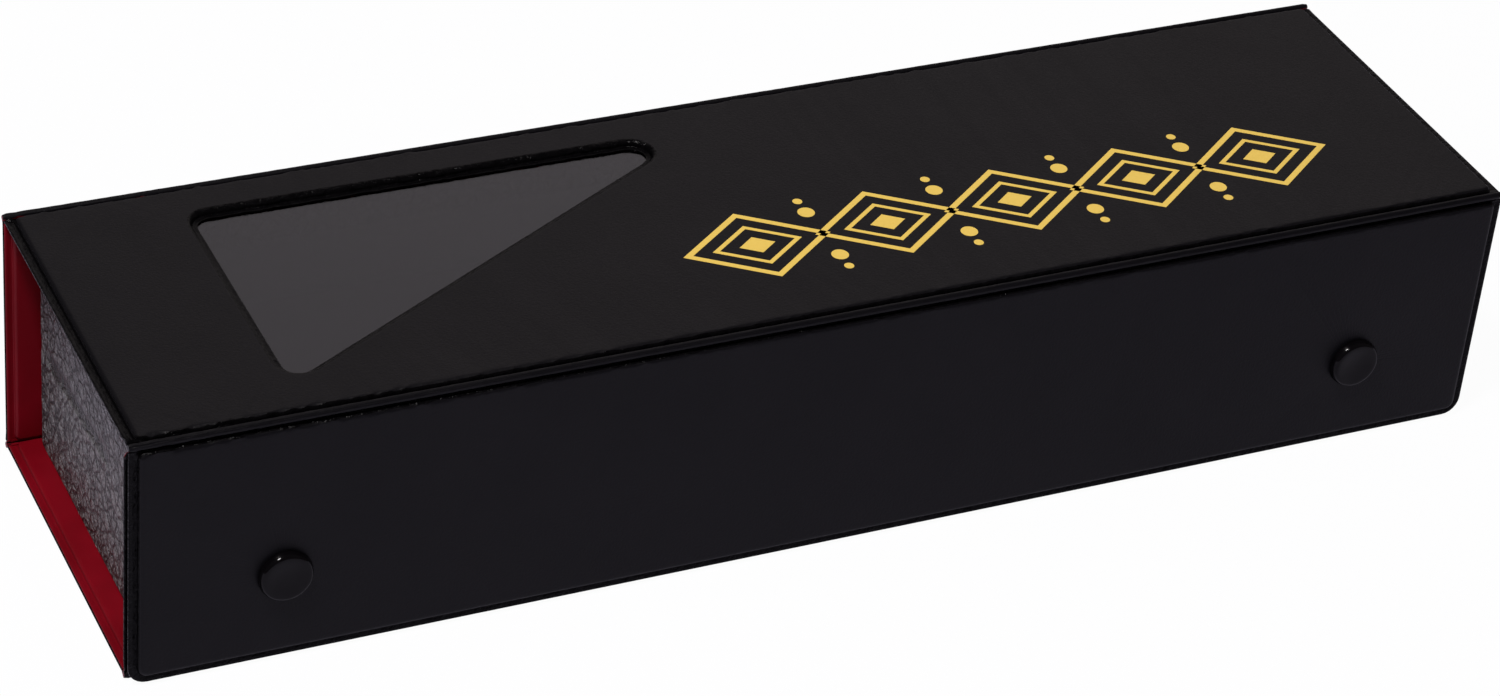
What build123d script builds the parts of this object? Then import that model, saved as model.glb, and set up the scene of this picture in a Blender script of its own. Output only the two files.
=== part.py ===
"""Rummy tile case: welded vinyl panels folded round a wrapped tray, with a lid and a snap-down flap.

Millimetres, +Z up. X runs along the case and the front, with the flap, faces -Y. The origin is on
the table, midway between the ends and between the flap's face and the back face.
"""
import os
from math import cos, hypot, radians, sin, sqrt, tan

from build123d import *

os.makedirs("parts", exist_ok=True)

# ---------------------------------------------------------------- overall size
case_length = 350.0          # over the seams at both ends
case_depth = 98.0            # flap face to back face
case_height = 67.0           # table to lid face

# ---------------------------------------------------------------- panel build-up
board = 2.0                  # stiffening board in every panel
vinyl = 0.4                  # outer skin, and the same for the inner liner
inner_step = 0.8             # weld plane to the board's inner side
outer_shoulder = 1.2         # radius of the skin over the board's edge
inner_shoulder = 0.4         # bevel of the liner over the board's edge
corner_soft = 1.6            # least corner radius of a raised panel, seen square on
seam_width = 2.1             # welded rim round a free edge
weld_groove = 0.8            # width of the pressed line next to the board
groove_depth = 0.15          # depth of that line
flap_corner = 4.5            # lower corners of the flap
inner_front_corner = 2.0     # upper corners of the inner front

# ---------------------------------------------------------------- folds between panels
fold_radius = 0.9            # half thickness of the doubled vinyl ridge
fold_inset = 0.35            # ridge below the faces on either side
fold_gap = 0.3               # ridge to the panel that swings round it
fold_land = 0.3              # flat seam between a panel's end and its board

# ---------------------------------------------------------------- places of the panels
flap_gap = 0.3               # flap to inner front
flap_lift = 0.6              # flap's lower edge above the table
inner_front_drop = 4.4       # inner front's upper edge below the lid face

# ---------------------------------------------------------------- window in the lid
window_end_margin = 39.9     # case end to the window's short side
window_back_margin = 13.0    # back face to the window's long side
window_length = 131.8        # long side, sharp corner to sharp corner
window_width = 73.3          # short side, sharp corner to sharp corner
window_corner = 5.5          # radius of the board's cut-out at the corners
window_lip = 1.3             # flange welded to the film
window_film = 0.4            # clear film
film_clearance = 0.1         # film to the board round it
liner_setback = 0.3          # liner's edge behind the lip's edge

# ---------------------------------------------------------------- snaps
snap_end = 36.0              # snap centre to the end of the case
snap_height = 24.3           # snap centre above the table
cap_radius = 6.5
cap_rim = 0.6                # upright edge of the cap
cap_crest = 2.2              # top of the cap above the flap
cap_crest_radius = 5.6       # circle of the crest round the dish
cap_dish = 0.4               # dish below the crest
rivet_radius = 1.8
socket_radius = 5.0
socket_plate = 0.3           # back plate of the socket
stud_height = 1.4            # stud above the inner front
stud_radius = 2.2            # head that the socket grips
stud_neck = 1.8
stud_base = 0.4              # flange of the stud
snap_clearance = 0.3         # stud to socket, all round and at the tip
eyelet_radius = 4.5
eyelet_flange = 0.4

# ---------------------------------------------------------------- tray
tray_inset = 7.5             # tray end to the end of the case
tray_corner = 3.5            # upright outer corners
cover = 0.4                  # grained covering
tray_board = 1.8             # walls and floor
lid_gap = 0.4                # tray rim to the lid's liner
rim_turn_in = 14.0           # covering turned down inside the rim
base_turn_in = 12.0          # covering turned in below the floor

# ---------------------------------------------------------------- tile insert
insert_clearance = 0.3       # insert to the covering inside the rim
insert_sheet = 0.8           # formed sheet
insert_height = 28.5         # tray floor to the insert's rim
insert_corner = 2.5
side_rim = 1.6               # rim beside the troughs
end_rim = 12.0               # ledge at both ends of the troughs
divider = 2.2                # ridge between the troughs, at the top
trough_draft = 1.0           # degrees
trough_corner = 3.0
saddle_radius = 15.0         # finger dip in the divider
saddle_depth = 12.0

# ---------------------------------------------------------------- derived places
outer_step = board - inner_step              # weld plane to the board's outer side
face_height = outer_step + vinyl             # weld plane to the panel's outer face
inner_height = inner_step + vinyl            # weld plane to the panel's inner face
panel_thickness = face_height + inner_height
half_length = case_length / 2
front_face = -case_depth / 2
back_face = case_depth / 2
fold_centre = fold_inset + fold_radius       # ridge's axis below both faces
fold_setback = fold_centre + fold_radius + fold_gap
inner_front_face = front_face + panel_thickness + flap_gap
tray_half = half_length - tray_inset
tray_front = inner_front_face + panel_thickness
tray_back = back_face - panel_thickness
tray_base = panel_thickness
tray_top = case_height - panel_thickness - lid_gap
tray_floor = tray_base + cover + tray_board
insert_top = tray_floor + insert_height
socket_depth = stud_height - flap_gap + snap_clearance + socket_plate
round_to_bevel = 2 - sqrt(2)                 # bevel that touches a rounding of radius 1


# ---------------------------------------------------------------- plain shapes
def block(half_x, low_y, high_y, low_z, high_z, low_corner=0.0, high_corner=0.0, soften=fillet):
    """A plate from -half_x to half_x, its corners at the low and the high Y rounded or bevelled."""
    centre = Pos(0, (low_y + high_y) / 2, (low_z + high_z) / 2)
    plate = centre * Box(2 * half_x, high_y - low_y, high_z - low_z)
    for size, side in ((low_corner, 0), (high_corner, -1)):
        if size > 0:
            upright = plate.edges().filter_by(Axis.Z).group_by(Axis.Y)[side]
            plate = soften(upright, size)
    return plate


def turned(outline):
    """A solid of revolution about Z from a closed half section in the XZ plane."""
    return revolve(Plane.XZ * make_face(outline), Axis.Z)


def disc(radius, low_z, high_z):
    """A cylinder about Z between two levels."""
    return Pos(0, 0, (low_z + high_z) / 2) * Cylinder(radius, high_z - low_z)


def at_snaps(piece):
    """A piece repeated at both snaps, in the frame of the flap or the inner front."""
    return [Pos(side * (half_length - snap_end), snap_height, 0) * piece for side in (-1, 1)]


# ---------------------------------------------------------------- panels
class Panel:
    """A flat panel in its own frame: X along the case, weld plane at Z 0, outer side up.

    Its seam runs from low to high in Y. At each of these edges it has the width of the rim
    outside the board and the radius of the corners. Its shoulders are rounded on the lid and
    the flap and bevelled elsewhere.
    """

    def __init__(self, low, high, low_rim, high_rim, low_corner=0.0, high_corner=0.0,
                 soften=fillet):
        self.low, self.high = low, high
        self.low_rim, self.high_rim = low_rim, high_rim
        self.low_corner, self.high_corner = low_corner, high_corner
        self.soften = soften

    def outline(self, low_z, high_z):
        """The full outline of the seam between two levels."""
        return block(half_length, self.low, self.high, low_z, high_z,
                     self.low_corner, self.high_corner)

    def raised(self, low_z, high_z, grow=0.0, soften=fillet):
        """The part that stands over the board, grown by an amount on every side."""
        corners = [max(corner - rim, corner_soft) + grow
                   for corner, rim in ((self.low_corner, self.low_rim),
                                       (self.high_corner, self.high_rim))]
        if soften is chamfer:
            corners = [round_to_bevel * corner for corner in corners]
        return block(half_length - seam_width + grow,
                     self.low + self.low_rim - grow,
                     self.high - self.high_rim + grow,
                     low_z, high_z, *corners, soften)

    def sheet(self):
        """The outer sheet on the weld plane, with the line pressed beside the board."""
        line = self.raised(vinyl - groove_depth, vinyl, weld_groove, self.soften)
        return self.outline(0, vinyl) - line


def window_prism(inset, low_z, high_z):
    """The window's right-angled triangle in the lid's frame, drawn in on every side."""
    left = -half_length + window_end_margin
    back = back_face - window_back_margin
    inradius = (window_length + window_width - hypot(window_length, window_width)) / 2
    centre = Vector(left + inradius, back - inradius)
    corners = (Vector(left, back), Vector(left, back - window_width),
               Vector(left + window_length, back))
    shrink = 1 - inset / inradius
    sharp = make_face(Polyline(*[centre + (point - centre) * shrink for point in corners],
                               close=True))
    face = fillet(sharp.vertices(), window_corner - inset)
    return extrude(Pos(0, 0, low_z) * face, high_z - low_z, dir=(0, 0, 1))


def panel_board(panel, window=False):
    """The stiffening board, its outer edges crushed to a bevel by the press."""
    plate = panel.raised(-inner_step, outer_step, -vinyl, chamfer)
    if window:
        plate -= window_prism(0, -inner_step, outer_step)
    bevel = round_to_bevel * (outer_shoulder - vinyl)
    return chamfer(plate.edges().group_by(Axis.Z)[-1], bevel)


def panel_skin(panel, window=False):
    """The outer sheet, drawn over the board down to the weld plane."""
    hull = panel.raised(0, face_height, soften=panel.soften)
    if window:
        hull -= window_prism(vinyl, 0, face_height)
    hull = panel.soften(hull.edges().group_by(Axis.Z)[-1], outer_shoulder)
    skin = hull + panel.sheet() - panel_board(panel, window)
    if window:
        lip_low = window_film - inner_step
        lip_high = lip_low + vinyl
        skin += window_prism(0, lip_low, 0) - window_prism(vinyl, lip_low, 0)
        skin += window_prism(0, lip_low, lip_high) - window_prism(vinyl + window_lip,
                                                                  lip_low, lip_high)
    return skin


def panel_liner(panel, window=False):
    """The inner sheet, pressed over the board's inner side."""
    hull = panel.raised(-inner_height, 0, soften=chamfer)
    hull = chamfer(hull.edges().group_by(Axis.Z)[0], inner_shoulder)
    liner = hull + panel.outline(-vinyl, 0) - panel_board(panel)
    if window:
        liner -= window_prism(vinyl + window_lip - liner_setback, -inner_height, 0)
    return liner


def fold(corner_y, corner_z, into_y, into_z, to_level=True, to_upright=True):
    """The doubled vinyl round one long corner, joined to the level and upright panels there.

    into_y and into_z point from the corner into the case.
    """
    ridge = Pos(fold_centre, fold_centre) * Circle(fold_radius)
    strip_centre = outer_step + vinyl
    arm = fold_setback - fold_centre
    middle = fold_centre + arm / 2
    if to_level:
        ridge += Pos(middle, strip_centre) * Rectangle(arm, 2 * vinyl)
    if to_upright:
        ridge += Pos(strip_centre, middle) * Rectangle(2 * vinyl, arm)
    section = Plane(origin=(0, corner_y, corner_z), x_dir=(0, into_y, 0),
                    z_dir=(into_y * into_z, 0, 0)) * ridge
    return extrude(section, half_length, both=True)


def frame(origin, outward):
    """A panel's frame in the case: its origin on the weld plane and its outward side."""
    return Plane(origin=origin, x_dir=(1, 0, 0), z_dir=outward)


bottom = Panel(-back_face + fold_setback, -inner_front_face - fold_setback,
               fold_land, fold_land, soften=chamfer)
back = Panel(-case_height + fold_setback, -fold_setback, fold_land, fold_land, soften=chamfer)
inner_front = Panel(fold_setback, case_height - inner_front_drop, fold_land, seam_width,
                    high_corner=inner_front_corner, soften=chamfer)
lid = Panel(front_face + fold_setback, back_face - fold_setback, fold_land, fold_land)
flap = Panel(flap_lift, case_height - fold_setback, seam_width, fold_land,
             low_corner=flap_corner)

bottom_frame = frame((0, 0, face_height), (0, 0, -1))
back_frame = frame((0, back_face - face_height, 0), (0, 1, 0))
inner_front_frame = frame((0, inner_front_face + face_height, 0), (0, -1, 0))
lid_frame = frame((0, 0, case_height - face_height), (0, 0, 1))
flap_frame = frame((0, front_face + face_height, 0), (0, -1, 0))


# ---------------------------------------------------------------- snaps
def snap_cap():
    """Domed cap with a dished middle and the rivet that goes through the flap."""
    crest = face_height + cap_crest
    middle = crest - cap_dish
    rim_top = face_height + cap_rim
    rivet_end = socket_depth - inner_height
    dome = [(cap_crest_radius + (cap_radius - cap_crest_radius) * cos(radians(angle)),
             rim_top + (crest - rim_top) * sin(radians(angle))) for angle in (0, 30, 60, 90)]
    return turned(Polyline((0, middle), (0, rivet_end), (rivet_radius, rivet_end),
                           (rivet_radius, face_height), (cap_radius, face_height),
                           *dome, close=True))


def snap_socket():
    """Blind ring let into the flap's inner side, which grips the stud."""
    low = -inner_height
    seat = low + socket_depth
    bore = disc(stud_radius + snap_clearance, low, seat - socket_plate)
    return disc(socket_radius, low, seat) - bore


def snap_stud():
    """Flanged stud on the inner front, with a neck under a flared head."""
    low = face_height - stud_base
    tip = face_height + stud_height
    return turned(Polyline((0, tip), (0, low), (socket_radius, low), (socket_radius, face_height),
                           (stud_neck, face_height), (stud_radius, tip), close=True))


def snap_eyelet():
    """Rivet that holds the stud from behind the inner front."""
    low = -inner_height
    return (disc(eyelet_radius, low, low + eyelet_flange)
            + disc(rivet_radius, low, face_height - stud_base))


rivet_holes = at_snaps(disc(rivet_radius, -inner_height, face_height))
socket_seats = at_snaps(disc(socket_radius, -inner_height, socket_depth - inner_height))
stud_seats = at_snaps(disc(socket_radius, face_height - stud_base, face_height))
eyelet_seats = at_snaps(disc(eyelet_radius, -inner_height, eyelet_flange - inner_height))
flap_holes = rivet_holes + socket_seats
inner_front_holes = rivet_holes + stud_seats + eyelet_seats


# ---------------------------------------------------------------- tray and insert
def tray_block(inset, low_z, high_z):
    """The tray's rounded outline, drawn in on all four sides, between two levels."""
    corner = max(tray_corner - inset, 0)
    return block(tray_half - inset, tray_front + inset, tray_back - inset, low_z, high_z,
                 corner, corner)


def make_tray_board():
    """Open board tray: four walls and a floor."""
    body = tray_block(cover, tray_base + cover, tray_top - cover)
    return body - tray_block(cover + tray_board, tray_floor, tray_top - cover)


def make_tray_cover():
    """Grained covering: round the walls, over the rim and in below the floor."""
    inside = cover + tray_board
    skin = tray_block(0, tray_base, tray_top)
    skin -= tray_block(cover, tray_base + cover, tray_top - cover)
    skin += tray_block(inside, tray_top - rim_turn_in, tray_top)
    skin -= tray_block(inside + cover, tray_top - rim_turn_in, tray_top)
    return skin - tray_block(base_turn_in, tray_base, tray_base + cover)


def make_tile_insert():
    """Formed insert with two drafted troughs for rows of tiles and a finger dip between."""
    inset = 2 * cover + tray_board + insert_clearance
    half = tray_half - inset
    low_y = tray_front + inset
    high_y = tray_back - inset
    middle_y = (low_y + high_y) / 2
    width = (high_y - low_y - 2 * side_rim - divider) / 2
    sheet_low = insert_top - insert_sheet

    def trough(y, grow, bottom):
        """One trough's inner form, or its outer form when grown by the sheet."""
        sections = []
        for z in (bottom, insert_top):
            edge = grow - (insert_top - z) * tan(radians(trough_draft))
            sections.append(Pos(0, y, z) * RectangleRounded(2 * (half - end_rim + edge),
                                                            width + 2 * edge,
                                                            trough_corner + grow))
        return loft(sections)

    insert = block(half, low_y, high_y, sheet_low, insert_top, insert_corner, insert_corner)
    ends = block(half, low_y, high_y, tray_floor, sheet_low, insert_corner, insert_corner)
    insert += ends - block(half - insert_sheet, low_y, high_y, tray_floor, sheet_low)
    places = [middle_y + side * (divider + width) / 2 for side in (-1, 1)]
    for y in places:
        insert += trough(y, insert_sheet, tray_floor)
    for y in places:
        insert -= trough(y, 0, tray_floor + insert_sheet)

    saddle_axis = Pos(0, middle_y, insert_top + saddle_radius - saddle_depth) * Rot(90, 0, 0)
    insert -= saddle_axis * Cylinder(saddle_radius, divider + 2 * insert_sheet)
    dip = saddle_axis * (Cylinder(saddle_radius + insert_sheet, divider)
                         - Cylinder(saddle_radius, divider))
    below_rim = block(half, low_y, high_y, tray_floor, insert_top)
    return insert + (dip & below_rim)


# ---------------------------------------------------------------- the pieces, by name
pieces = {
    "bottom_board": bottom_frame * panel_board(bottom),
    "bottom_skin": bottom_frame * panel_skin(bottom),
    "bottom_liner": bottom_frame * panel_liner(bottom),
    "back_board": back_frame * panel_board(back),
    "back_skin": back_frame * panel_skin(back),
    "back_liner": back_frame * panel_liner(back),
    "inner_front_board": inner_front_frame * (panel_board(inner_front) - inner_front_holes),
    "inner_front_skin": inner_front_frame * (panel_skin(inner_front) - inner_front_holes),
    "inner_front_liner": inner_front_frame * (panel_liner(inner_front) - inner_front_holes),
    "bottom_back_fold": fold(back_face, 0, -1, 1),
    "bottom_front_fold": fold(inner_front_face, 0, 1, 1),
    "lid_fold": fold(back_face, case_height, -1, -1, to_level=False),
    "snap_studs": inner_front_frame * Compound(at_snaps(snap_stud())),
    "snap_eyelets": inner_front_frame * Compound(at_snaps(snap_eyelet())),
    "tray_board": make_tray_board(),
    "tray_cover": make_tray_cover(),
    "tile_insert": make_tile_insert(),
    "lid_board": lid_frame * panel_board(lid, window=True),
    "lid_skin": lid_frame * panel_skin(lid, window=True),
    "lid_liner": lid_frame * panel_liner(lid, window=True),
    "window_film": lid_frame * window_prism(film_clearance, -inner_step,
                                            window_film - inner_step),
    "flap_fold": fold(front_face, case_height, 1, -1, to_upright=False),
    "flap_board": flap_frame * (panel_board(flap) - flap_holes),
    "flap_skin": flap_frame * (panel_skin(flap) - flap_holes),
    "flap_liner": flap_frame * (panel_liner(flap) - flap_holes),
    "snap_caps": flap_frame * Compound(at_snaps(snap_cap())),
    "snap_sockets": flap_frame * Compound(at_snaps(snap_socket())),
}

for name, piece in pieces.items():
    export_step(piece, f"parts/{name}.step")
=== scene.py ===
"""Looks of the tile case: vinyl panels, folds, window, snaps, tray and ornament round the frame.

Shapes are drawn in millimetres and brought to metres as each piece is finished.
"""
import math

import bmesh
import bpy
from mathutils import Matrix, Vector, noise


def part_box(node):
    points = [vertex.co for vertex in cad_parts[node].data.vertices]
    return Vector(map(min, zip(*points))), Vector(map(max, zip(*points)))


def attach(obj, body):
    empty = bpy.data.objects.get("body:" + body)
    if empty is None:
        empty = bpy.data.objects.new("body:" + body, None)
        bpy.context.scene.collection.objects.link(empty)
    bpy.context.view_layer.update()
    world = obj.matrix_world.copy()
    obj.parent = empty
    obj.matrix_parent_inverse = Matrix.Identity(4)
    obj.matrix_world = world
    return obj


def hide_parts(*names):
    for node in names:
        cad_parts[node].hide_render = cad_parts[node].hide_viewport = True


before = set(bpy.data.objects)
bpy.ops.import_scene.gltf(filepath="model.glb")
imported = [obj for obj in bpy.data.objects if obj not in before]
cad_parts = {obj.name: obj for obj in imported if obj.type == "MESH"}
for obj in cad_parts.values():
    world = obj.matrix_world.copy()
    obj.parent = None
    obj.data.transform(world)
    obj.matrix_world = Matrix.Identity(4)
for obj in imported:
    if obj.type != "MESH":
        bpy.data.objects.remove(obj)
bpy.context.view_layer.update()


# ------------------------------------------------------------------ stiffening boards
# Grey millboard, 2 mm in the panels and 1.8 mm in the tray. It is cut to size and laid between the
# sheets of vinyl or under the covering, and shows only inside the tray, below the turned-in rim.
class Shade:
    """A socket in a material's nodes. Arithmetic on it adds Math nodes."""

    def __init__(self, tree, socket=None):
        self.tree, self.socket = tree, socket

    def node(self, kind, settings, sockets, output=0):
        """Adds a node: its settings first, then the values or links of its sockets."""
        made = self.tree.nodes.new("ShaderNode" + kind)
        for name, value in settings.items():
            setattr(made, name, value)
        for name, value in sockets.items():
            if isinstance(value, Shade):
                self.tree.links.new(value.socket, made.inputs[name])
            else:
                made.inputs[name].default_value = value
        return Shade(self.tree, made.outputs[output])

    def math(self, operation, first, second=0.0):
        return self.node("Math", {"operation": operation}, {0: first, 1: second})

    def __add__(self, other):
        return self.math("ADD", self, other)

    def __sub__(self, other):
        return self.math("SUBTRACT", self, other)

    def __rsub__(self, other):
        return self.math("SUBTRACT", other, self)

    def __mul__(self, other):
        return self.math("MULTIPLY", self, other)

    __radd__, __rmul__ = __add__, __mul__

    def clouds(self, per_mm, detail=3.0, roughness=0.5):
        """Soft noise with so many lumps to the millimetre, at this position."""
        return self.node("TexNoise", {}, {"Vector": self, "Scale": per_mm * 1000,
                                          "Detail": detail, "Roughness": roughness})

    def pebbles(self, per_mm, feature="F1"):
        """Distance from the nearest of scattered points, so many to the millimetre."""
        return self.node("TexVoronoi", {"feature": feature},
                         {"Vector": self, "Scale": per_mm * 1000})

    def step(self, low, high, to_low=0.0, to_high=1.0):
        """Smooth step from one value to another as this goes from low to high."""
        return self.node("MapRange", {"interpolation_type": "SMOOTHSTEP"},
                         {"Value": self, "From Min": low, "From Max": high,
                          "To Min": to_low, "To Max": to_high})

    def blend(self, low, high):
        """A colour between two, this being the share of the second."""
        return self.node("Mix", {"data_type": "RGBA"}, {0: self, 6: low, 7: high}, output=2)


class Finish:
    """A material made of one Principled shader and what varies over the surface."""

    def __init__(self, name, **constants):
        self.material = bpy.data.materials.new(name)
        self.material.use_nodes = True
        self.shader = self.material.node_tree.nodes["Principled BSDF"]
        for socket, value in constants.items():
            self.shader.inputs[socket.replace("_", " ")].default_value = value
        start = Shade(self.material.node_tree)
        self.place = start.node("TexCoord", {}, {}, output="Object")

    def dress(self, colour=None, roughness=None, height=None, depth_mm=0.1):
        """Links what varies; height is a relief, and depth_mm how far it goes from 0 to 1."""
        links = self.material.node_tree.links
        for socket, value in (("Base Color", colour), ("Roughness", roughness)):
            if value is not None:
                links.new(value.socket, self.shader.inputs[socket])
        if height is not None:
            bump = height.node("Bump", {}, {"Height": height, "Distance": depth_mm / 1000})
            links.new(bump.socket, self.shader.inputs["Normal"])
        return self.material


def coat_nodes(material, *names):
    """Gives CAD nodes a material."""
    for name in names:
        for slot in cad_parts[name].material_slots:
            slot.material = material


millboard = Finish("millboard", Roughness=0.92)
fibres = millboard.place.clouds(1.4, detail=6, roughness=0.7)
flecks = millboard.place.pebbles(0.5).step(0.03, 0.09, 1.0, 0.0)
fibre_colour = fibres.step(0.3, 0.7).blend((0.22, 0.2, 0.18, 1), (0.36, 0.34, 0.3, 1))
coat_nodes(millboard.dress(flecks.blend(fibre_colour, (0.1, 0.09, 0.08, 1)),
                           height=fibres, depth_mm=0.08),
           "bottom_board", "back_board", "inner_front_board", "lid_board", "flap_board",
           "tray_board")


# ------------------------------------------------------------------ red lining
# Smooth red vinyl, 0.4 mm, on the inner side of each panel. A die welds it to the black sheet
# all round, which leaves a rounded bead at the cut edge and a pressed line beside the board.
half_length = 175.0          # of the case, over the seams
half_depth = 49.0            # middle to the flap's face and to the back's
case_height = 67.0
inner_front_face = 45.9      # middle to the inner front's outer side
weld_depth = 1.6             # a panel's outer side to the plane where its sheets are welded
fold_setback = 2.45          # long corner of the case to the seams beside it
sheet = 0.4
end_rim = 2.1                # weld outside the board, at a free edge
fold_rim = 0.3               # weld outside the board, beside a fold
board_corner = 1.6
least_radius = 0.12
end_spacing = 2.5            # between points along the short sides
arc_steps = 6                # straight runs in a round corner


class Panel:
    """A panel's seam outline in its own frame, with the weld plane at Z 0 and its outer side up."""

    def __init__(self, body, origin, outward, low, high, rims, low_corner=0.3, high_corner=0.3):
        along = Vector((1, 0, 0))
        outward = Vector(outward)
        turn = Matrix((along, outward.cross(along), outward)).transposed().to_4x4()
        self.place = Matrix.Translation(origin) @ turn
        self.body, self.low, self.high, self.rims = body, low, high, rims
        self.corners = (low_corner, low_corner, high_corner, high_corner)

    def ring(self, mesh, share, grow, height, spacing):
        """Outline from the seam's edge (share 0) to the board's (share 1), grown by an amount."""
        x = half_length - end_rim * share + grow
        low = self.low + self.rims[0] * share - grow
        high = self.high - self.rims[1] * share + grow
        radii = [max(corner + (max(corner - end_rim, board_corner) - corner) * share + grow,
                     least_radius) for corner in self.corners]
        along_x = round(2 * half_length / spacing)
        along_y = round((self.high - self.low) / end_spacing)
        return outline(mesh, ((-x, low), (x, low), (x, high), (-x, high)), radii, height,
                       (along_x, along_y, along_x, along_y))


def outline(mesh, corners, radii, height, divisions):
    """Adds a closed outline with round corners, its straight runs cut into so many divisions."""
    points = []
    corners = [Vector(corner) for corner in corners]
    for place, corner in enumerate(corners):
        back = (corners[place - 1] - corner).normalized()
        on = (corners[(place + 1) % len(corners)] - corner).normalized()
        half = back.angle(on) / 2
        centre = corner + (back + on).normalized() * radii[place] / math.sin(half)
        spoke = corner + back * radii[place] / math.tan(half) - centre
        turn = (math.pi - 2 * half) / arc_steps
        points += [centre + Matrix.Rotation(turn * step, 2) @ spoke
                   for step in range(arc_steps + 1)]
    ring = []
    for place, point in enumerate(points):
        following = points[(place + 1) % len(points)]
        corner, step = divmod(place, arc_steps + 1)
        cuts = divisions[corner] if step == arc_steps else 1
        ring += [mesh.verts.new((*point.lerp(following, cut / cuts), height))
                 for cut in range(cuts)]
    return [mesh.edges.new(pair) for pair in zip(ring, ring[1:] + ring[:1])]


def join_rings(mesh, rings):
    """Skins a row of outlines, each to the next."""
    for one, following in zip(rings, rings[1:]):
        for edge, beside in zip(one, following):
            mesh.faces.new((*edge.verts, *reversed(beside.verts)))


def round_hole(mesh, x, y, radius, height):
    """Adds a round outline."""
    before = set(mesh.edges)
    bmesh.ops.create_circle(mesh, segments=48, radius=radius,
                            matrix=Matrix.Translation((x, y, height)))
    return [edge for edge in mesh.edges if edge not in before]


def face_out(mesh, outward):
    """Turns an open sheet so that its widest face looks in a direction."""
    bmesh.ops.recalc_face_normals(mesh, faces=mesh.faces)
    widest = max(mesh.faces, key=lambda face: face.calc_area())
    if widest.normal.dot(Vector(outward)) < 0:
        bmesh.ops.reverse_faces(mesh, faces=mesh.faces)


def thicken(mesh, outward, thickness=sheet, soften=0.08):
    """Turns an open sheet into a closed one, behind its outer side, and softens its cut edges."""
    face_out(mesh, outward)
    mesh.normal_update()
    out = mesh.verts.layers.float_vector.new("out")
    for vert in mesh.verts:
        vert[out] = vert.normal
    outer = set(mesh.verts)
    cut = {edge for edge in mesh.edges if edge.is_boundary}
    shell = bmesh.ops.extrude_face_region(mesh, geom=mesh.faces[:], use_keep_orig=True)
    for part in shell["geom"]:
        if isinstance(part, bmesh.types.BMVert):
            part.co -= thickness * part[out]
    mesh.verts.layers.float_vector.remove(out)
    bmesh.ops.recalc_face_normals(mesh, faces=mesh.faces)
    cut |= {edge for face in {face for edge in cut for face in edge.link_faces}
            for edge in face.edges if not outer.intersection(edge.verts)}
    if soften:
        bmesh.ops.bevel(mesh, geom=list(cut), offset=soften, offset_type="OFFSET", segments=2,
                        profile=0.5, affect="EDGES", clamp_overlap=True, material=-1)


def finish_piece(name, mesh, materials, body, replaced=None, place=Matrix.Identity(4),
                 sharp=40):
    """Makes the piece's object at the origin, in metres, within the space of what it replaces."""
    bmesh.ops.transform(mesh, matrix=Matrix.Scale(0.001, 4) @ place, verts=mesh.verts)
    if replaced:
        low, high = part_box(replaced)
        for vert in mesh.verts:
            vert.co = [min(max(value, least), most)
                       for value, least, most in zip(vert.co, low, high)]
    data = bpy.data.meshes.new(name)
    mesh.to_mesh(data)
    mesh.free()
    for material in materials:
        data.materials.append(material)
    data.shade_smooth()
    data.set_sharp_from_angle(angle=math.radians(sharp))
    piece = bpy.data.objects.new(name, data)
    bpy.context.scene.collection.objects.link(piece)
    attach(piece, body)
    if replaced:
        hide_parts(replaced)


inner_front_drop = 4.4       # its upper edge below the lid's face
flap_lift = 0.6              # its lower edge above the table
snap_end = 36.0              # snap to the end of the case
snap_height = 24.3
folds_beside = (fold_rim, fold_rim)
panels = {
    "bottom": Panel("base", (0, 0, weld_depth), (0, 0, -1), fold_setback - half_depth,
                    inner_front_face - fold_setback, folds_beside),
    "back": Panel("base", (0, half_depth - weld_depth, 0), (0, 1, 0),
                  fold_setback - case_height, -fold_setback, folds_beside),
    "inner_front": Panel("base", (0, weld_depth - inner_front_face, 0), (0, -1, 0), fold_setback,
                         case_height - inner_front_drop, (fold_rim, end_rim), high_corner=2.0),
    "lid": Panel("lid", (0, 0, case_height - weld_depth), (0, 0, 1), fold_setback - half_depth,
                 half_depth - fold_setback, folds_beside),
    "flap": Panel("flap", (0, weld_depth - half_depth, 0), (0, -1, 0), flap_lift,
                  case_height - fold_setback, (end_rim, fold_rim), low_corner=4.5),
}
spacings = {"lid": 0.8, "flap": 0.8, "inner_front": 4.0, "back": 3.0, "bottom": 3.0}
snap_places = [(side * (half_length - snap_end), snap_height) for side in (-1, 1)]
quarter = [math.radians(angle) for angle in range(0, 91, 15)]


def window_ring(mesh, inset, height):
    """The window's outline in the lid's frame, drawn in on every side."""
    left, back = 39.9 - half_length, half_depth - 13.0
    length, width, corner = 131.8, 73.3, 5.5
    inradius = (length + width - math.hypot(length, width)) / 2
    centre = Vector((left + inradius, back - inradius))
    shrink = 1 - inset / inradius
    corners = [centre + (Vector(point) - centre) * shrink
               for point in ((left, back), (left, back - width), (left + length, back))]
    return outline(mesh, corners, [corner - inset] * 3, height, (58, 110, 110))


def snap_holes(radius, height):
    """A function that adds the round holes for both snaps."""
    return lambda mesh: [edge for x, y in snap_places
                         for edge in round_hole(mesh, x, y, radius, height)]


welded_shoulder = 4          # rings of the shoulder that the die still reaches


def pressed_sheet(panel, profile, holes, spacing):
    """An open sheet over the board: rings in from the seam's edge, then a face with holes.

    A profile gives each ring's share of the way to the board, its growth and its height. What
    the die reaches takes the sheet's second material.
    """
    mesh = bmesh.new()
    rings = [panel.ring(mesh, share, grow, height, spacing) for share, grow, height in profile]
    welded = sum(share < 1 for share, grow, height in profile) + welded_shoulder
    join_rings(mesh, rings[:welded])
    for face in mesh.faces:
        face.material_index = 1
    join_rings(mesh, rings[welded - 1:])
    bmesh.ops.triangle_fill(mesh, use_beauty=True, edges=rings[-1] + holes(mesh))
    return mesh


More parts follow.
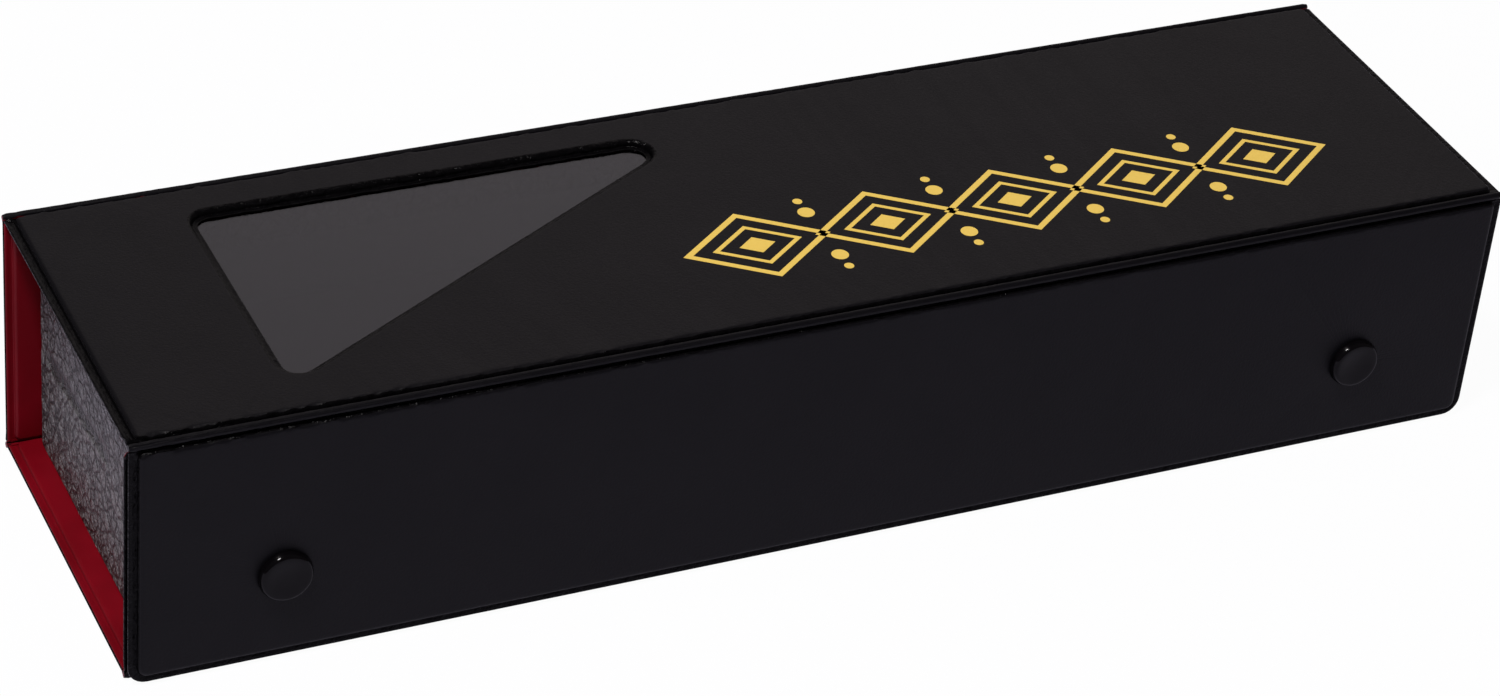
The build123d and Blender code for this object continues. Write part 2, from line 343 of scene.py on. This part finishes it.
def pucker(mesh, foot, reach, amount):
    """Small lumps in the vinyl along a weld at Y foot, strongest at the left end of the case.

    They rise to the panel's outer side and hardly sink, as the board lies close behind.
    """
    everywhere, left_end, fade, deepest = 0.3, 1.5, 32, -0.06
    for vert in mesh.verts:
        x, y, z = vert.co
        near = math.exp(-((y - foot) / reach) ** 2)
        if near > 0.02:
            strength = amount * near * (everywhere + left_end * math.exp(-(x + half_length) / fade))
            fine = noise.noise(Vector((x / 1.9, y / 1.6, foot)))
            broad = noise.noise(Vector((x / 6.0, y / 6.0, foot + 9)))
            vert.co.z += strength * max(fine + 0.6 * broad, deepest)
            vert.co.y += 0.2 * strength * noise.noise(Vector((x / 2.3, foot, 5.0)))


lining_radius = 0.8
lining_face = -1.2           # weld plane to the lining's flat side
lining_profile = [(0, -0.22, -0.3), (0, -0.27, -0.42), (0.26, 0, -0.5), (0.44, 0, -0.44),
                  (0.6, 0, -0.36), (0.75, 0, -0.29), (0.93, 0, -0.28)]
lining_profile += [(1, lining_radius * (math.cos(angle) - 1),
                    -sheet - lining_radius * math.sin(angle)) for angle in quarter]
lining_profile += [(1, -1.5, lining_face)]
lining_holes = {
    "lid": lambda mesh: window_ring(mesh, 1.4, lining_face),
    "flap": snap_holes(5, lining_face),
    "inner_front": snap_holes(4.5, lining_face),
}

red_vinyl = Finish("red_vinyl", Specular_IOR_Level=0.1)
red_grain = red_vinyl.place.clouds(2.2, detail=4, roughness=0.6)
red_wave = red_vinyl.place.clouds(0.06, detail=2)
red_colour = red_wave.step(0.3, 0.7).blend((0.134, 0.0016, 0.0055, 1), (0.172, 0.0022, 0.0078, 1))
red_vinyl.dress(red_colour, red_grain.step(0.3, 0.7, 0.3, 0.4), red_grain * 0.25 + red_wave * 1.5,
                depth_mm=0.06)

for name, panel in panels.items():
    lining = pressed_sheet(panel, lining_profile, lining_holes.get(name, lambda mesh: []),
                           spacings[name])
    for foot in (panel.high - 0.6, panel.low + 0.6):
        pucker(lining, foot, 0.9, 0.2)
    thicken(lining, (0, 0, -1))
    finish_piece(name + "_lining", lining, [red_vinyl.material] * 2, panel.body,
                 name + "_liner", panel.place)


# ------------------------------------------------------------------ black vinyl
# Black embossed vinyl, 0.4 mm, on the outer side of each panel, drawn over the board's rounded
# edge. On the lid it also rolls down round the cut-out in the board to a flange under the film.
shoulder = 1.2
lid_face = 1.57              # weld plane to the lid's flat, so that foil stands proud of it
vinyl_profile = [(0, -0.05, 0.02), (0, 0, 0.16), (0.04, 0, 0.4), (0.16, 0, 0.5), (0.28, 0, 0.5),
                 (0.44, 0, 0.43), (0.6, 0, 0.33), (0.72, 0, 0.27), (0.93, 0, 0.25)]


def outer_profile(face):
    """Rings of an outer sheet up to its flat face."""
    rise = face - sheet
    return vinyl_profile + [(1, shoulder * (math.cos(angle) - 1), sheet + rise * math.sin(angle))
                            for angle in quarter] + [(1, -1.9, face)]


def window_lip(mesh):
    """The lip rolls down from the face round the board's cut edge and ends in a flange."""
    lip = [window_ring(mesh, sheet - shoulder - 0.7, lid_face)]
    lip += [window_ring(mesh, sheet - shoulder * (1 - math.sin(angle)),
                        lid_face - shoulder * (1 - math.cos(angle))) for angle in quarter]
    lip += [window_ring(mesh, inset, height)
            for inset, height in ((0.4, 0.2), (0.45, 0.07), (0.6, 0.0), (0.9, -0.02),
                                  (1.2, 0.03), (1.45, 0.06), (1.7, 0.02))]
    flat = set(mesh.faces)
    join_rings(mesh, lip)
    for face in set(mesh.faces) - flat:
        face.material_index = int(face.calc_center_median().z < lid_face - 0.02)
    return lip[0]


def weld_marks(mesh):
    """Lumps that the die leaves in the window's wall along its far side."""
    left, right, near_side, far_side = -134, 2, 34.0, 36.6
    for vert in mesh.verts:
        x, y, z = vert.co
        if z < lid_face - 0.15 and near_side < y < far_side and left < x < right:
            lump = noise.noise(Vector((x / 1.5, z / 0.9, 2.0)))
            broad = noise.noise(Vector((x / 5.0, z / 2.0, 7.0)))
            vert.co.y += 0.24 * lump + 0.2 * broad
            vert.co.z += 0.12 * noise.noise(Vector((x / 1.9, y / 0.8, 4.0)))


vinyl_holes = {
    "lid": window_lip,
    "flap": snap_holes(1.8, weld_depth),
    "inner_front": snap_holes(5, weld_depth),
}

black_vinyl = Finish("black_vinyl", Specular_IOR_Level=0.108)
black_grain = black_vinyl.place.pebbles(1.7, "SMOOTH_F1")
black_pores = black_vinyl.place.clouds(3.4, detail=3, roughness=0.6)
black_wave = black_vinyl.place.clouds(0.045, detail=2)
black_dust = black_vinyl.place.pebbles(0.02).step(0.0035, 0.006, 1.0, 0.0)
black_colour = black_wave.step(0.3, 0.7).blend((0.0022, 0.002, 0.003, 1),
                                               (0.003, 0.0027, 0.0038, 1))
black_vinyl.dress(black_dust.blend(black_colour, (0.4, 0.4, 0.38, 1)),
                  black_pores.step(0.3, 0.7, 0.38, 0.52),
                  black_grain * 0.5 + black_pores * 0.4 + black_wave * 2.0, depth_mm=0.07)

black_weld = Finish("black_weld", Specular_IOR_Level=0.06)
weld_flow = black_weld.place.clouds(0.7, detail=4, roughness=0.6)
black_weld.dress(weld_flow.step(0.3, 0.7).blend((0.0012, 0.0011, 0.0014, 1),
                                                (0.0024, 0.0022, 0.0026, 1)),
                 weld_flow.step(0.3, 0.7, 0.1, 0.22), weld_flow, depth_mm=0.4)

strong, faint = 1.5, 0.12    # puckers at upper edges and folds, and at the flap's lower edge
between_sheets = 0.03        # keeps the faces of the two sheets out of one plane
for name, panel in panels.items():
    skin = pressed_sheet(panel, outer_profile(lid_face if name == "lid" else weld_depth),
                         vinyl_holes.get(name, lambda mesh: []), spacings[name])
    pucker(skin, panel.high - 0.8, 0.6, strong)
    pucker(skin, panel.low + 0.8, 0.6, strong if panel.rims[0] == fold_rim else faint)
    if name == "lid":
        weld_marks(skin)
    thicken(skin, (0, 0, 1), sheet - between_sheets)
    finish_piece(name + "_vinyl", skin, [black_vinyl.material, black_weld.material], panel.body,
                 name + "_skin", panel.place)


# ------------------------------------------------------------------ folds
# At each long corner both sheets are welded flat on each other, without board, and that doubled
# strip bulges into a ridge as the case is folded. It is black outside and red inside.
ridge_radius = 0.87
ridge_inset = 1.25           # corner of the case to the ridge's axis
web_from = 0.72              # where a web leaves the ridge, from its axis
web_reach = 2.5              # corner of the case to a web's end
ridge_steps = 320
groove_depth, groove_angle, groove_width = 0.09, 0.75, 0.16
end_round, end_pinch = 0.6, 0.25


def fold_ridge(name, corner_y, corner_z, webs, body, node, wrinkle, red_end=True):
    """A ridge along one long corner. webs are its flat arms into the seams of its neighbours.

    A groove runs along its outer side, at an angle in radians, and wrinkle is the height of its
    lumps. Its ends are pinched a little.
    """
    into_y = -math.copysign(1, corner_y)
    into_z = 1 if corner_z < case_height / 2 else -1
    centre = Vector((0, corner_y + into_y * ridge_inset, corner_z + into_z * ridge_inset))
    mesh = bmesh.new()
    bmesh.ops.create_circle(mesh, cap_ends=True, segments=40, radius=ridge_radius,
                            matrix=Matrix.Rotation(math.radians(90), 4, "Y"))
    bmesh.ops.translate(mesh, verts=mesh.verts, vec=centre)
    for vert in mesh.verts:
        level = (vert.co.y - centre.y) * into_y
        upright = (vert.co.z - centre.z) * into_z
        if "level" in webs and level > web_from:
            vert.co.y = corner_y + into_y * web_reach
            vert.co.z = corner_z + into_z * (weld_depth + 0.5 * upright)
        if "upright" in webs and upright > web_from:
            vert.co.z = corner_z + into_z * web_reach
            vert.co.y = corner_y + into_y * (weld_depth + 0.5 * level)
    bmesh.ops.translate(mesh, verts=mesh.verts, vec=(-half_length, 0, 0))
    bmesh.ops.spin(mesh, geom=mesh.faces[:], cent=(0, 0, 0), axis=(1, 0, 0), angle=0,
                   dvec=(2 * half_length / ridge_steps, 0, 0), steps=ridge_steps)
    bmesh.ops.remove_doubles(mesh, verts=mesh.verts, dist=0.001)
    for vert in mesh.verts:
        away = Vector((0, vert.co.y - centre.y, vert.co.z - centre.z))
        if away.length > 1.0:
            continue
        x = vert.co.x
        out = math.atan2(-away.z * into_z, -away.y * into_y)
        strength = wrinkle * (0.3 + math.exp(-(x + half_length) / 18))
        groove = groove_depth * math.exp(-((out - groove_angle) / groove_width) ** 2)
        swell = noise.noise(Vector((x / 2.1, 3 * out, 1.0))) * strength
        vert.co += away.normalized() * (swell - groove)
        end = half_length - abs(x)
        if end < end_round:
            vert.co += away * -(end_pinch * (1 - end / end_round) ** 2)
    bmesh.ops.recalc_face_normals(mesh, faces=mesh.faces)
    for face in mesh.faces:
        inside = face.normal.y * into_y > -0.05 and face.normal.z * into_z > -0.05
        at_end = abs(face.normal.x) > 0.7
        face.material_index = int(red_end if at_end else inside)
    finish_piece(name, mesh, [black_vinyl.material, red_vinyl.material], body, node,
                 sharp=50)


fold_ridge("bottom_back_ridge", half_depth, 0, ("level", "upright"), "base",
           "bottom_back_fold", 0.1)
fold_ridge("bottom_front_ridge", -inner_front_face, 0, ("level", "upright"), "base",
           "bottom_front_fold", 0.1)
fold_ridge("lid_ridge", half_depth, case_height, ("upright",), "base", "lid_fold", 0.12)
fold_ridge("flap_ridge", -half_depth, case_height, ("level",), "lid", "flap_fold", 0.2,
           red_end=False)


# ------------------------------------------------------------------ window film
# Clear vinyl film, 0.4 mm, welded between the lid's two sheets round the window. It lies nearly
# flat, mirrors the room faintly and holds a few grains of dust.
clear_film = Finish("clear_film", Transmission_Weight=1.0, IOR=1.47, Specular_IOR_Level=0.5,
                    Specular_Tint=(0.86, 0.88, 1.0, 1))
film_wave = clear_film.place.clouds(0.02, detail=1)
film_smear = clear_film.place.clouds(0.08, detail=4, roughness=0.7)
film_dust = clear_film.place.pebbles(0.05).step(0.004, 0.008, 1.0, 0.0)
clear_film.dress(film_dust.blend((0.12, 0.12, 0.14, 1), (0.9, 0.9, 0.9, 1)),
                 film_smear.step(0.3, 0.7, 0.05, 0.1), film_wave, depth_mm=0.1)
coat_nodes(clear_film.material, "window_film")


# ------------------------------------------------------------------ press snaps
# Two snaps of the usual four parts. The cap is drawn steel in black stove enamel; its rivet goes
# through the flap into the nickel-plated socket, and the stud is riveted to the inner front.
def turned_pair(name, outline_points, panel, material, node):
    """The same turned part at both snaps, spun from points of radius and height."""
    mesh = bmesh.new()
    for x, y in snap_places:
        points = [mesh.verts.new((x + radius, y, height)) for radius, height in outline_points]
        edges = [mesh.edges.new(pair) for pair in zip(points, points[1:])]
        bmesh.ops.spin(mesh, geom=points + edges, cent=(x, y, 0), axis=(0, 0, 1),
                       angle=math.tau, steps=64, use_merge=True)
    bmesh.ops.remove_doubles(mesh, verts=mesh.verts, dist=0.001)
    bmesh.ops.recalc_face_normals(mesh, faces=mesh.faces)
    finish_piece(name, mesh, [material], panel.body, node, panel.place, sharp=50)


enamel = Finish("black_enamel", Specular_IOR_Level=0.11)
enamel_wave = enamel.place.clouds(0.35, detail=2)
enamel.dress(enamel_wave.step(0.3, 0.7).blend((0.0016, 0.0013, 0.0018, 1),
                                              (0.0024, 0.002, 0.0026, 1)),
             enamel_wave.step(0.3, 0.7, 0.07, 0.13), enamel_wave, depth_mm=0.03)

cap_side = [(6.3, 0.0), (6.45, 0.08), (6.5, 0.25), (6.5, 0.5), (6.47, 0.8), (6.4, 1.1),
            (6.28, 1.42), (6.12, 1.72), (5.92, 1.98), (5.7, 2.14), (5.4, 2.19), (5.0, 2.18),
            (4.4, 2.13), (3.6, 2.04), (2.7, 1.94), (1.8, 1.87), (0.9, 1.83), (0.0, 1.82)]
turned_pair("snap_cap_enamel", [(0, 0.6), (1.8, 0.6), (1.8, 1.6)] +
            [(radius, 1.6 + height) for radius, height in cap_side], panels["flap"],
            enamel.material, "snap_caps")

nickel = Finish("snap_nickel", Metallic=1.0, Base_Color=(0.62, 0.6, 0.56, 1))
nickel_wear = nickel.place.clouds(1.2, detail=5, roughness=0.7)
nickel.dress(nickel_wear.step(0.35, 0.7).blend((0.66, 0.64, 0.6, 1), (0.5, 0.47, 0.42, 1)),
             nickel_wear.step(0.3, 0.7, 0.2, 0.38), nickel_wear, depth_mm=0.02)
turned_pair("snap_socket_rings",
            [(0, 0.2), (2.5, 0.2), (2.5, -0.95), (2.6, -1.12), (2.8, -1.2), (4.2, -1.2),
             (4.7, -1.14), (5.0, -0.95), (5.0, 0.5), (0, 0.5)],
            panels["flap"], nickel.material, "snap_sockets")
turned_pair("snap_stud_heads",
            [(0, 1.2), (4.7, 1.2), (5.0, 1.35), (5.0, 1.5), (4.8, 1.6), (2.4, 1.6), (1.9, 1.7),
             (1.8, 2.0), (1.86, 2.3), (2.08, 2.5), (2.2, 2.68), (2.14, 2.86), (1.9, 2.97),
             (1.5, 3.0), (0.8, 2.96), (0, 2.92)],
            panels["inner_front"], nickel.material, "snap_studs")
turned_pair("snap_eyelet_rivets",
            [(0, -1.02), (1.2, -1.05), (1.6, -1.16), (3.8, -1.2), (4.3, -1.14), (4.5, -1.0),
             (4.5, -0.84), (4.4, -0.8), (1.8, -0.8), (1.8, 1.2), (0, 1.2)],
            panels["inner_front"], nickel.material, "snap_eyelets")


# ------------------------------------------------------------------ tray covering
# Coarse grained paper-backed covering glued round the board tray. It is wrapped round the upright
# corners, turned down inside the rim and in below the floor, and has creased at the left end, where
# painted shade darkens the colour along the long crease.
tray_half, tray_front, tray_back = 167.5, -43.1, 46.2
tray_base, tray_top = 2.8, 63.8
tray_corner = 3.5
cover_sheet = 0.38
deepest_dent = 0.34          # the board behind the covering stays hidden


def tray_ring(mesh, inset, height):
    """The tray's outline, drawn in on every side. The left end, which creases, has most points."""
    x, front, back = tray_half - inset, tray_front + inset, tray_back - inset
    return outline(mesh, ((-x, front), (x, front), (x, back), (-x, back)),
                   [max(tray_corner - inset, 0.5)] * 4, height, (60, 60, 60, 110))


def crease(mesh):
    """The dents in the covering at the left end: one long soft fold and some short wrinkles.

    Each fold has its two ends, as Y and Z, its depth and its width.
    """
    end_from = 2.0 - tray_half
    folds = (((40.0, 31.8), (-11.0, 34.8), 0.3, 1.3), ((42.0, 24.0), (38.0, 4.0), 0.22, 1.4),
             ((30.0, 12.0), (2.0, 4.5), 0.2, 1.8), ((12.0, 52.0), (-24.0, 46.0), 0.12, 2.4))
    for vert in mesh.verts:
        x, y, z = vert.co
        if x > end_from or not 3 < z < 62:
            continue
        dent = 0.1 + 0.14 * noise.noise(Vector((y / 9, z / 9, 3.0)))
        for (y0, z0), (y1, z1), depth, width in folds:
            run = Vector((y1 - y0, z1 - z0))
            off = Vector((y - y0, z - z0))
            along = off.dot(run) / run.length_squared
            if -0.1 < along < 1.1:
                aside = (off.x * run.y - off.y * run.x) / run.length
                fade = math.sin(math.pi * min(max((along + 0.1) / 1.2, 0), 1)) ** 0.6
                dent += fade * depth * math.exp(-(aside / width) ** 2)
        vert.co.x += min(max(dent, 0), deepest_dent) * min((end_from - x) / 1.6, 1)


base_round, rim_round, rim_parts = 0.6, 1.3, 8
wall_rings, wall_step = 66, 0.88
rim_turn_in, base_turn_in = 14.0, 12.0
covering = bmesh.new()
cover_rings = [tray_ring(covering, inset, tray_base + 0.02) for inset in (base_turn_in, 6, 1.2)]
cover_rings += [tray_ring(covering, base_round * (1 - math.sin(angle)),
                          tray_base + base_round * (1 - math.cos(angle))) for angle in quarter]
cover_rings += [tray_ring(covering, 0, tray_base + base_round + wall_step * step)
                for step in range(1, wall_rings + 1)]
cover_rings += [tray_ring(covering, rim_round * (1 - math.cos(math.pi * step / rim_parts)),
                          tray_top - rim_round + rim_round * math.sin(math.pi * step / rim_parts))
                for step in range(1, rim_parts)]
cover_rings += [tray_ring(covering, 2 * rim_round, tray_top - depth)
                for depth in (rim_round, 4, 8, rim_turn_in)]
join_rings(covering, cover_rings)
crease(covering)
thicken(covering, (0, 0, -1), cover_sheet, soften=0)

grained = Finish("grained_cover", Specular_IOR_Level=0.5)
pores = grained.place.pebbles(0.85, "DISTANCE_TO_EDGE").step(0.0, 0.3)
creases = grained.place.pebbles(0.3, "DISTANCE_TO_EDGE").step(0.0, 0.2)
mottle = grained.place.clouds(0.2, detail=6, roughness=0.75)


def reach(axis):
    """Millimetres along a direction. It is 1000 long, because the position is in metres."""
    return grained.place.node("VectorMath", {"operation": "DOT_PRODUCT"},
                              {0: grained.place, 1: axis}, output="Value")


# Along the long crease's line the colour is darkened, which is painted shade in the fold, and the
# relief sinks into a groove. Away from the crease, and off the left end, the mask is 1.
line = reach((0, 59, 998)) - 34.1
fold_relief_and_painted_shade = line.math("ABSOLUTE", line).step(0.8, 3.2)
length = reach((0, -998, 59)) + 12.5
fold_relief_and_painted_shade = fold_relief_and_painted_shade.math("MAXIMUM", fold_relief_and_painted_shade, length.math("ABSOLUTE", length).step(18, 27))
fold_relief_and_painted_shade = fold_relief_and_painted_shade.math("MAXIMUM", fold_relief_and_painted_shade, reach((1000, 0, 0)).step(-166, -164))
relief = pores * 0.4 + creases * 0.9 + mottle * 2.4 + fold_relief_and_painted_shade * 2.4
# Colour: darkest in the grain's creases and pores. This is partly the covering's own grain tone and
# partly painted shade in its hollows, and it is multiplied down along the long crease as painted
# shade.
grain_tone_and_painted_shade = (creases * 0.35 + pores * 0.3 + mottle * 0.6).step(0.35, 1.1) * (fold_relief_and_painted_shade * 0.88 + 0.12)
grained.dress(grain_tone_and_painted_shade.blend((0.004, 0.004, 0.005, 1), (0.268, 0.27, 0.272, 1)),
              mottle.step(0.3, 0.7, 0.5, 0.3), relief, depth_mm=1.0)
finish_piece("tray_covering", covering, [grained.material], "base",
             "tray_cover", sharp=50)


# ------------------------------------------------------------------ tile insert
# Black vacuum-formed sheet with two troughs for rows of tiles and a finger dip between them. It
# has a faint pebbled face from the mould, and its shine varies finely over it.
formed = Finish("formed_sheet", Specular_IOR_Level=0.4)
formed_grain = formed.place.clouds(2.0, detail=3)
formed_wave = formed.place.clouds(0.05, detail=2)
formed.dress(formed_wave.step(0.3, 0.7).blend((0.012, 0.012, 0.013, 1), (0.018, 0.018, 0.02, 1)),
             formed_grain.step(0.3, 0.7, 0.32, 0.5), formed_grain * 0.4 + formed_wave,
             depth_mm=0.05)
coat_nodes(formed.material, "tile_insert")


# ------------------------------------------------------------------ gold ornament
# A frieze of nested lozenges with beads between them, hot-stamped in gold foil on the right half
# of the lid and pressed a little into the vinyl.
foil_low, foil_high = 66.93, 67.0
frieze_middle = Vector((56.0, -16.0))
lozenge_step, lozenge_half, lozenge_rise = 34.0, 19.0, 14.0


def lozenge(mesh, x, y, half_x, half_y, stroke=None, sides=4):
    """A lozenge or disc of foil, only its outline if it has a stroke."""
    before = set(mesh.faces)
    size = Matrix.Diagonal((half_x, half_y, 1, 1))
    bmesh.ops.create_circle(mesh, cap_ends=True, segments=sides, radius=1,
                            matrix=Matrix.Translation((x, y, foil_low)) @ size)
    faces = [face for face in mesh.faces if face not in before]
    if stroke:
        bmesh.ops.inset_region(mesh, faces=faces, thickness=stroke, use_boundary=True,
                               use_even_offset=True)
        bmesh.ops.delete(mesh, geom=faces, context="FACES")
        faces = [face for face in mesh.faces if face not in before]
    return faces


frieze = bmesh.new()
stamped = []
for place in range(5):
    x, y = frieze_middle.x + (place - 2) * lozenge_step, frieze_middle.y
    stamped += lozenge(frieze, x, y, lozenge_half, lozenge_rise, 1.5)
    stamped += lozenge(frieze, x, y, 11.5, 8.4, 1.1)
    stamped += lozenge(frieze, x, y, 4.6, 3.4)
for place in range(4):
    x = frieze_middle.x + (place - 1.5) * lozenge_step
    for side in (-1, 1):
        stamped += lozenge(frieze, x, frieze_middle.y + side * 9.5, 2.1, 2.1, sides=32)
        stamped += lozenge(frieze, x, frieze_middle.y + side * 14.5, 1.2, 1.2, sides=24)
raised = bmesh.ops.extrude_face_region(frieze, geom=stamped, use_keep_orig=True)
bmesh.ops.translate(frieze, vec=(0, 0, foil_high - foil_low),
                    verts=[part for part in raised["geom"] if isinstance(part, bmesh.types.BMVert)])
bmesh.ops.recalc_face_normals(frieze, faces=frieze.faces)

foil = Finish("gold_foil", Metallic=0.55, Specular_IOR_Level=0.5)
foil_wear = foil.place.clouds(0.9, detail=6, roughness=0.7)
foil_grain = foil.place.pebbles(1.7, "SMOOTH_F1")
foil.dress(foil_wear.step(0.62, 0.78).blend((1.0, 0.72, 0.13, 1), (0.66, 0.43, 0.09, 1)),
           foil_wear.step(0.3, 0.7, 0.3, 0.44), foil_grain, depth_mm=0.04)
finish_piece("gold_frieze", frieze, [foil.material], "lid", sharp=30)


# ------------------------------------------------------------------ floor, light and camera
# The case stands on a plain white table in soft studio light, seen from the left and above.
def light_path(tree):
    """1 for rays that carry the background to the eye, straight or through film."""
    start = Shade(tree)
    rays = [start.node("LightPath", {}, {}, output=name)
            for name in ("Is Camera Ray", "Is Transmission Ray")]
    return start.math("MAXIMUM", *rays)


table = Finish("table_white", Base_Color=(0.79, 0.78, 0.93, 1), Specular_IOR_Level=0.2)
table.dress(roughness=table.place.clouds(0.05).step(0.3, 0.7, 0.8, 0.95))
tree = table.material.node_tree
glow = Shade(tree).node("Emission", {}, {"Color": (1, 1, 1, 1), "Strength": 1.0})
lit = Shade(tree, table.shader.outputs[0])
glow_share = 0.97            # the rest stays lit, so that the case's shadow shows
mixed = glow.node("MixShader", {}, {0: light_path(tree) * glow_share, 1: lit, 2: glow})
tree.links.new(mixed.socket, tree.nodes["Material Output"].inputs["Surface"])
floor = bmesh.new()
bmesh.ops.create_grid(floor, x_segments=1, y_segments=1, size=6)
floor_data = bpy.data.meshes.new("table")
floor.to_mesh(floor_data)
floor.free()
floor_data.materials.append(table.material)
table_top = bpy.data.objects.new("table", floor_data)
bpy.context.scene.collection.objects.link(table_top)

world = bpy.data.worlds.new("studio")
world.use_nodes = True
bpy.context.scene.world = world
background = world.node_tree.nodes["Background"]
background.inputs["Color"].default_value = (1.0, 0.91, 0.91, 1)
sight = Shade(world.node_tree).node("TexCoord", {}, {}, output="Generated")
# The black vinyl mirrors a pale wall behind the case. The rest of the room is dim.
wall_direction = (0.37, 0.74, 0.56)
to_wall = sight.node("VectorMath", {"operation": "DOT_PRODUCT"},
                     {0: sight, 1: wall_direction}, output="Value")
glare = to_wall.step(0.84, 0.97, 0.12, 0.72)
world.node_tree.links.new(glare.socket, background.inputs["Strength"])


def soft_light(name, place, aim, size, power, colour):
    """A square softbox aimed at a point, in metres and watts."""
    lamp = bpy.data.lights.new(name, "AREA")
    lamp.shape, lamp.size, lamp.energy, lamp.color = "SQUARE", size, power, colour
    light = bpy.data.objects.new(name, lamp)
    light.location = place
    light.rotation_euler = (Vector(aim) - Vector(place)).to_track_quat("-Z", "Y").to_euler()
    bpy.context.scene.collection.objects.link(light)


soft_light("lamp_above", (-0.56, -0.36, 1.45), (0, 0, 0.03), 0.22, 22, (1.0, 0.96, 0.96))

camera = bpy.data.objects.new("camera", bpy.data.cameras.new("camera"))
camera.data.sensor_fit, camera.data.sensor_width, camera.data.lens = "HORIZONTAL", 36.0, 104.387
camera.data.clip_end = 50
azimuth, elevation, roll = (math.radians(angle) for angle in (-27.462, 34.073, 5.681))
back = Vector((math.sin(azimuth) * math.cos(elevation), -math.cos(azimuth) * math.cos(elevation),
               math.sin(elevation)))
right = (-back).cross(Vector((0, 0, 1))).normalized()
up = right.cross(-back)
right, up = (right * math.cos(roll) + up * math.sin(roll),
             up * math.cos(roll) - right * math.sin(roll))
camera.matrix_world = (Matrix.Translation((-0.40662, -0.77669, 0.61735)) @
                       Matrix((right, up, back)).transposed().to_4x4())
bpy.context.scene.collection.objects.link(camera)
bpy.context.scene.camera = camera

bpy.context.scene.view_settings.view_transform = "Standard"
